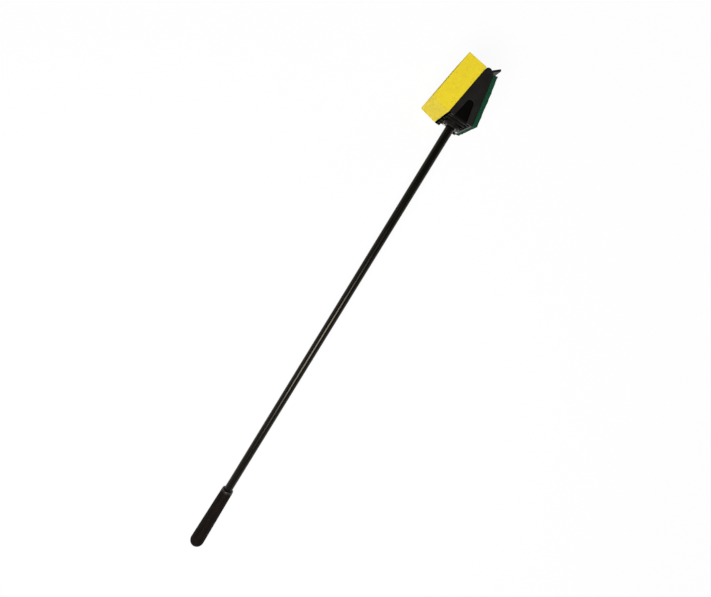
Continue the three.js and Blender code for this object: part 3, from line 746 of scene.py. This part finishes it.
class SQUEEGEE_OT_sponge(bpy.types.Operator):
    """Makes the foam sponge over its CAD solid"""

    bl_idname = "squeegee.sponge"
    bl_label = "Foam sponge"

    def execute(self, context):
        settings = context.scene.squeegee.sponge
        axes = face_axes("sponge_face")
        low, high = node_extent("sponge", axes)
        size = high - low
        points, outward, faces = rounded_block(size, settings.edge_round, settings.mesh_step)
        depth = pits(points, settings.pore_spacing, settings.pore_small, settings.pore_large, PORE_SEED)
        slow = waves(points, settings.wave_length, WAVE_SEED)
        rise = points[:, 1] / size[1] + 0.5
        inward = settings.waviness * (1 - slow) / 2 + settings.pore_depth * depth
        points = points - outward * (inward * np.clip(rise / BONDED, 0, 1))[:, None]
        points[:, 0] *= 1 - rise * settings.draft / (size[0] / 2)
        points, quads, triangles, kept = welded(points + (low + high) / 2, faces)
        material = open_cell_foam("open_cell_foam", settings)
        piece = add_piece("foam_sponge", in_frame(points, axes), quads, triangles, material, "head",
                          ("sponge",))
        # the pits' depth, which the foam's material also darkens as painted shade
        mark_points(piece, "pore", depth[kept])
        return {"FINISHED"}


class SQUEEGEE_OT_pad(bpy.types.Operator):
    """Makes the scouring pad and its loose fibres over its CAD solid"""

    bl_idname = "squeegee.pad"
    bl_label = "Scouring pad"

    def execute(self, context):
        settings = context.scene.squeegee.pad
        axes = face_axes("pad_face")
        low, high = node_extent("scouring_pad", axes)
        size = high - low
        middle = (low + high) / 2
        points, outward, faces = rounded_block(size, settings.edge_round, settings.mesh_step)
        fuzz = 0.5  # height of the finer waves, as a share of the others
        matted = 1 - 2 * np.abs(waves(points, settings.relief_length, MAT_SEED))
        matted += fuzz * waves(points, settings.relief_length / 2, FUZZ_SEED)
        ragged = waves(points, settings.ragged_length, RAGGED_SEED)
        free = np.clip((points[:, 1] / size[1] + 0.5) / BONDED, 0, 1)
        towards_nose = np.clip(points[:, 0] / size[0] + 0.5, 0, 1)
        inward = settings.relief * (1 + fuzz - matted) / 2 + settings.raggedness * (1 + ragged) / 2
        inward -= inward.mean()
        points[:, 1] -= settings.tip_thinning * free * towards_nose ** 2
        placed, quads, triangles, _ = welded(points - outward * (inward * free)[:, None] + middle, faces)
        material = nonwoven_fibre("nonwoven_fibre", settings)
        piece = add_piece("scour_pad", in_frame(placed, axes), quads, triangles, material, "head",
                          ("scouring_pad",))
        self.add_fibres(settings, points + middle, outward, axes, material, low, high)
        return {"FINISHED"}

    def add_fibres(self, settings, points, outward, axes, material, low, high):
        """Loose fibres: bent three-sided tubes, c(s) = start + s (d + s b / 2), where d leaves the pad at
        a low angle and b bends it back towards the pad. Past the pad's sides they lie close along it. Half
        of them start on the cut edges, and none on the bonded face."""
        rings, sides = 7, 3
        shortest = 0.35  # share of the longest fibre
        lowest, steepest = 0.1, 0.4  # how much d rises from the surface
        droop = 2.4  # how much b turns back for that rise
        taper = 0.85  # how much thinner the free end is
        draw = np.random.default_rng(FIBRE_SEED)
        free = np.flatnonzero(outward[:, 1] > -0.2)  # all but the bonded face
        edge = free[np.abs(outward[free, 1]) < 0.6]
        half = settings.fibre_count // 2
        chosen = np.concatenate((draw.choice(free, settings.fibre_count - half), draw.choice(edge, half)))
        normal = outward[chosen]
        spread = draw.normal(size=normal.shape)
        flat = spread - normal * np.sum(spread * normal, axis=1, keepdims=True)
        flat /= np.linalg.norm(flat, axis=1, keepdims=True)
        side = np.cross(normal, flat)
        length = settings.fibre_length * draw.uniform(shortest, 1, len(chosen))[:, None, None]
        lean = draw.uniform(lowest, steepest, len(chosen))[:, None]
        start = points[chosen] - normal * settings.fibre_root
        direction = flat + normal * lean
        bend = side * draw.uniform(-1, 1, (len(chosen), 1)) - normal * droop * lean
        share = np.linspace(0, 1, rings)[None, :, None]
        line = start[:, None] + length * share * (direction[:, None] + share * bend[:, None] / 2)
        slack = draw.uniform(-settings.fibre_short, settings.fibre_proud, (len(chosen), 1, 1))
        line = np.clip(line, low - np.minimum(slack, 0), high + slack)
        turn = np.arange(sides)[:, None] * (2 * np.pi / sides)
        thick = settings.fibre_radius * np.sqrt(1 - taper * share ** 4)
        ring = normal[:, None, None] * np.cos(turn) + side[:, None, None] * np.sin(turn)
        tubes = line[:, :, None] + thick[..., None] * ring
        ends = np.array(((2, 1, 0), (-3, -2, -1))) % (sides * rings)
        first = (np.arange(len(chosen)) * sides * rings)[:, None, None]
        quads = (grid_faces(rings, sides, False, True) + first).reshape(-1, 4)
        add_piece("scour_fibres", in_frame(tubes.reshape(-1, 3), axes), quads, (ends + first).reshape(-1, 3),
                  material, "head")


class SQUEEGEE_OT_head(bpy.types.Operator):
    """Finishes the head's moulding, socket, blade, bonding sheets and washer"""

    bl_idname = "squeegee.head"
    bl_label = "Head"

    def execute(self, context):
        settings = context.scene.squeegee.head
        # both mouldings of the head carry its painted shade
        plastic = moulded_plastic("moulded_polypropylene", settings.colour, roughness=0.42, head=settings)
        smooth = moulded_plastic("socket_polypropylene", settings.colour, roughness=0.34, head=settings)
        rubber = moulded_rubber("extruded_rubber", settings.rubber)
        sheet = bonding_sheet("bonding_sheet")
        thin_edge = settings.edge_round / 2
        sheet_edge = settings.edge_round / 8
        finish_node("head_shell", plastic, settings.edge_round)
        finish_node("pole_socket", smooth, settings.edge_round)
        finish_node("squeegee_blade", rubber, settings.edge_round)
        finish_node("friction_washer", rubber, thin_edge)
        finish_node("sponge_tape", sheet, sheet_edge)
        finish_node("pad_tape", sheet, sheet_edge)
        return {"FINISHED"}


class SQUEEGEE_OT_screws(bpy.types.Operator):
    """Makes the two pan-head screws with a cross recess"""

    bl_idname = "squeegee.screws"
    bl_label = "Socket screws"

    def execute(self, context):
        settings = context.scene.squeegee.head
        material = zinc_plate("zinc_plate", settings.zinc)
        for side in ("left", "right"):
            self.add_screw(side, settings, material)
        return {"FINISHED"}

    def add_screw(self, side, settings, material):
        """A turned pan head and shank. Over the head's top the station sinks by the recess depth inside
        a cross of two bars, |r cos t| or |r sin t| under half the bar's width, out to two thirds of it."""
        node = "socket_screw_" + side
        low, high = node_extent(node)
        middle = (low + high) / 2
        head = (high[1] - low[1]) / 2
        shank = SHANK * head
        dome = PAN_ROUND * head
        top = low[0]
        seat = top + PAN_DEPTH * head

        def cross(station, radius, angle):
            off_bar = np.minimum(np.abs(radius * np.cos(angle)), np.abs(radius * np.sin(angle)))
            beside = np.clip((settings.recess_width / 2 - off_bar) / settings.recess_wall + 0.5, 0, 1)
            within = np.clip((RECESS_REACH * head - radius) / settings.recess_end + 0.5, 0, 1)
            return station + settings.recess_depth * beside * within * (station < top + dome), radius

        profile = np.concatenate((
            ((top, 0.0),), run((top, 0.0), (top, head - dome), steps=20),
            arc(top + dome, head - dome, dome, 180, 90),
            ((seat, head), (seat, shank), (high[0] - shank, shank), (high[0], 0.0)),
        ))
        add_turned("pan_screw_" + side, profile, material, "head", (node,), lift=cross,
                   shift=(0, middle[1], middle[2]))


class SQUEEGEE_OT_pole(bpy.types.Operator):
    """Makes the painted tube, its cross pin and its threaded tip"""

    bl_idname = "squeegee.pole"
    bl_label = "Pole"

    def execute(self, context):
        settings = context.scene.squeegee.pole
        low, high = node_extent("pole_tube")
        bore, outer = node_radii("pole_tube")
        edge = settings.end_round
        profile = np.concatenate((
            ((low[0], bore),), arc(low[0] + edge, outer - edge, edge, 180, 90, steps=3),
            run((low[0] + edge, outer), (high[0] - edge, outer), steps=160),
            arc(high[0] - edge, outer - edge, edge, 90, 0, steps=3), ((high[0], bore),),
        ))
        paint = baked_paint("baked_enamel", settings.colour)
        add_turned("painted_pole", profile, paint, "pole", ("pole_tube",), closed=True)
        self.add_pin(settings, context.scene.squeegee.head.zinc)
        nylon = moulded_plastic("moulded_nylon", settings.nylon, roughness=0.5)
        self.add_tip(settings, nylon)
        finish_node("tube_bung", nylon, edge)
        return {"FINISHED"}

    def add_pin(self, settings, colour):
        """A pin across the pole with domed ends: its profile turns round a line along the side direction."""
        low, high = node_extent("tip_pin")
        radius, reach, _ = (high - low) / 2
        share = np.linspace(0, 1, 6)
        cap = np.column_stack((reach + settings.pin_proud * (1 - share ** 2), radius * share))
        points, faces = turned(np.concatenate((cap, cap[::-1] * (-1, 1))), ROUND_STEPS // 2)
        points, quads, triangles, _ = welded(points[:, (1, 0, 2)] + (low + high) / 2, faces)
        zinc = zinc_plate("zinc_pin", colour)
        add_piece("cross_pin", in_frame(points), quads, triangles, zinc, "pole", ("tip_pin",))

    def add_tip(self, settings, material):
        """The tip with its screw thread: over the thread's length the radius falls by
        depth (1 - ridge(station / pitch - t / 2 pi)), where ridge is a wave cut flat at crests and roots."""
        low, high = node_extent("threaded_tip")
        tube_bore, tube_outer = node_radii("pole_tube")
        shank = tube_bore - GAP
        crest = node_radii("friction_washer")[0] - GAP
        seat = node_extent("pole_tube")[1][0] + GAP
        shoulder = node_extent("friction_washer")[0][0] - GAP
        end = high[0] - settings.tip_chamfer
        lead = settings.thread_pitch / 2
        flat = 0.3  # how far past its crests and roots the wave would run if it weren't cut
        least = 0.1  # smallest radius off the axis

        def thread(station, radius, angle):
            turns = station / settings.thread_pitch - angle / (2 * np.pi)
            wave = np.abs(2 * (turns - np.floor(turns)) - 1)
            ridge = np.clip((1 + 2 * flat) * wave - flat, 0, 1)
            fade = np.clip((station - shoulder) / lead, 0, 1) * np.clip((high[0] - station) / lead, 0, 1)
            cut = settings.thread_depth * (1 - ridge) * fade
            return station, np.where(radius > 0, np.maximum(radius - cut, least), 0)

        profile = np.concatenate((
            ((low[0], 0.0), (low[0], shank), (seat, shank), (seat, tube_outer), (shoulder, tube_outer),
             (shoulder, crest)),
            run((shoulder, crest), (end, crest), steps=150),
            ((end, crest), (high[0], crest - settings.tip_chamfer), (high[0], 0.0)),
        ))
        add_turned("handle_thread", profile, material, "pole", ("threaded_tip",), lift=thread)


class SQUEEGEE_OT_grip(bpy.types.Operator):
    """Makes the tapered soft grip with its round end"""

    bl_idname = "squeegee.grip"
    bl_label = "Grip"

    def execute(self, context):
        settings = context.scene.squeegee.grip
        low, high = node_extent("grip")
        rim, inner = settings.rim_round, settings.bore_round
        _, end_radius = node_radii("grip")
        _, top_radius = node_radii("grip", high[0] - 2 * rim)
        bore = node_radii("pole_tube")[1] + GAP
        bore_end = node_extent("tube_bung")[0][0] - GAP
        profile = np.concatenate((
            arc(low[0] + end_radius, 0, end_radius, 180, 90, steps=24),
            run((low[0] + end_radius, end_radius), (high[0] - rim, top_radius), steps=70),
            arc(high[0] - rim, top_radius - rim, rim, 90, 0),
            arc(high[0] - inner, bore + inner, inner, 0, -90, steps=5),
            ((bore_end, bore), (bore_end, 0.0)),
        ))
        profile[0, 1] = 0.0  # the round end's first point lies on the axis
        vinyl = soft_vinyl("dipped_vinyl", settings)
        piece = add_turned("vinyl_grip", profile, vinyl, "pole", ("grip",), steps=128)
        station = local_points(piece)[:, 0]
        mark_points(piece, "rubbed", np.clip(1 - (high[0] - station) / settings.rubbed_length, 0, 1))
        return {"FINISHED"}


class SQUEEGEE_OT_stage(bpy.types.Operator):
    """Makes the floor and backdrop, the soft box, the dim lamp, the even light and the camera"""

    bl_idname = "squeegee.stage"
    bl_label = "Stage"

    def execute(self, context):
        settings = context.scene.squeegee.stage
        context.scene.view_settings.view_transform = "Standard"
        self.add_floor(settings)
        self.add_lamp(context, "soft_box", settings.lamp_place, settings.lamp_aim, settings.lamp_power,
                      settings.lamp_width, settings.lamp_length)
        self.add_lamp(context, "fill_lamp", settings.fill_place, settings.lamp_aim, settings.fill_power,
                      settings.fill_size, settings.fill_size)
        self.add_sky(context, settings)
        self.add_camera(context, settings)
        return {"FINISHED"}

    def add_floor(self, settings):
        """A flat floor that sweeps up into a backdrop: a profile of (height, radius) turned round Z."""
        bend = np.radians(np.linspace(-90, 0, 17))
        sweep = np.column_stack((settings.sweep_radius * (1 + np.sin(bend)),
                                 settings.floor_radius + settings.sweep_radius * np.cos(bend)))
        rim = (settings.wall_height, settings.floor_radius + settings.sweep_radius)
        points, faces = turned(np.concatenate((((0.0, 0.0),), sweep, (rim,))), ROUND_STEPS)
        points, quads, triangles, _ = welded(points[:, (1, 2, 0)], faces[:, ::-1])
        paper = studio_paper("studio_paper", settings)
        floor = add_mesh("studio_floor", points, quads, triangles, paper)

    def add_lamp(self, context, name, place, aim, power, width, length):
        """A rectangular lamp that faces a point and isn't seen itself."""
        light = bpy.data.lights.new(name, "AREA")
        light.shape = "RECTANGLE"
        light.size = width
        light.size_y = length
        light.energy = power
        lamp = bpy.data.objects.new(name, light)
        lamp.location = place
        lamp.rotation_euler = (Vector(aim) - Vector(place)).to_track_quat("-Z", "Y").to_euler()
        lamp.visible_camera = False
        context.scene.collection.objects.link(lamp)

    def add_sky(self, context, settings):
        """Even white light from all round."""
        world = bpy.data.worlds.new("studio_light")
        world.use_nodes = True
        tree = world.node_tree
        tree.nodes.clear()
        sky = add_node(tree, "ShaderNodeBackground", {"Color": WHITE, "Strength": settings.sky})
        add_node(tree, "ShaderNodeOutputWorld", None, {"Surface": (sky, "Background")})
        context.scene.world = world

    def add_camera(self, context, settings):
        """A camera that looks down on the tool, as from a standing person's eye."""
        camera = bpy.data.objects.new("camera", bpy.data.cameras.new("camera"))
        camera.data.sensor_fit = "HORIZONTAL"
        camera.data.sensor_width = settings.camera_sensor
        camera.data.lens = settings.camera_lens
        view = Vector(settings.camera_view).normalized()
        right = view.cross(Vector(settings.camera_up)).normalized()
        turn = Matrix((right, right.cross(view), -view)).transposed()
        camera.matrix_world = Matrix.Translation(settings.camera_place) @ turn.to_4x4()
        context.scene.collection.objects.link(camera)
        context.scene.camera = camera


class SQUEEGEE_PT_panel(bpy.types.Panel):
    """Lists the steps that dress the tool"""

    bl_idname = "SQUEEGEE_PT_panel"
    bl_label = "Cleaning squeegee"
    bl_space_type = "VIEW_3D"
    bl_region_type = "UI"
    bl_category = "Squeegee"

    def draw(self, context):
        for step in STEPS:
            self.layout.operator(step.bl_idname)


STEPS = (SQUEEGEE_OT_stage, SQUEEGEE_OT_sponge, SQUEEGEE_OT_pad, SQUEEGEE_OT_head, SQUEEGEE_OT_screws,
         SQUEEGEE_OT_pole, SQUEEGEE_OT_grip)
GROUPS = (SpongeSettings, PadSettings, HeadSettings, PoleSettings, GripSettings, StageSettings,
          SqueegeeSettings)


def register():
    """Registers the settings, the steps and the panel."""
    for item in (*GROUPS, *STEPS, SQUEEGEE_PT_panel):
        bpy.utils.register_class(item)
    bpy.types.Scene.squeegee = bpy.props.PointerProperty(
        type=SqueegeeSettings, name="Squeegee", description="Settings of the cleaning squeegee")


def unregister():
    """Removes what register added."""
    del bpy.types.Scene.squeegee
    for item in reversed((*GROUPS, *STEPS, SQUEEGEE_PT_panel)):
        bpy.utils.unregister_class(item)


def main():
    """Dresses the tool step by step."""
    register()
    for step in STEPS:
        getattr(bpy.ops.squeegee, step.bl_idname.split(".")[1])()


if __name__ == "__main__":
    main()
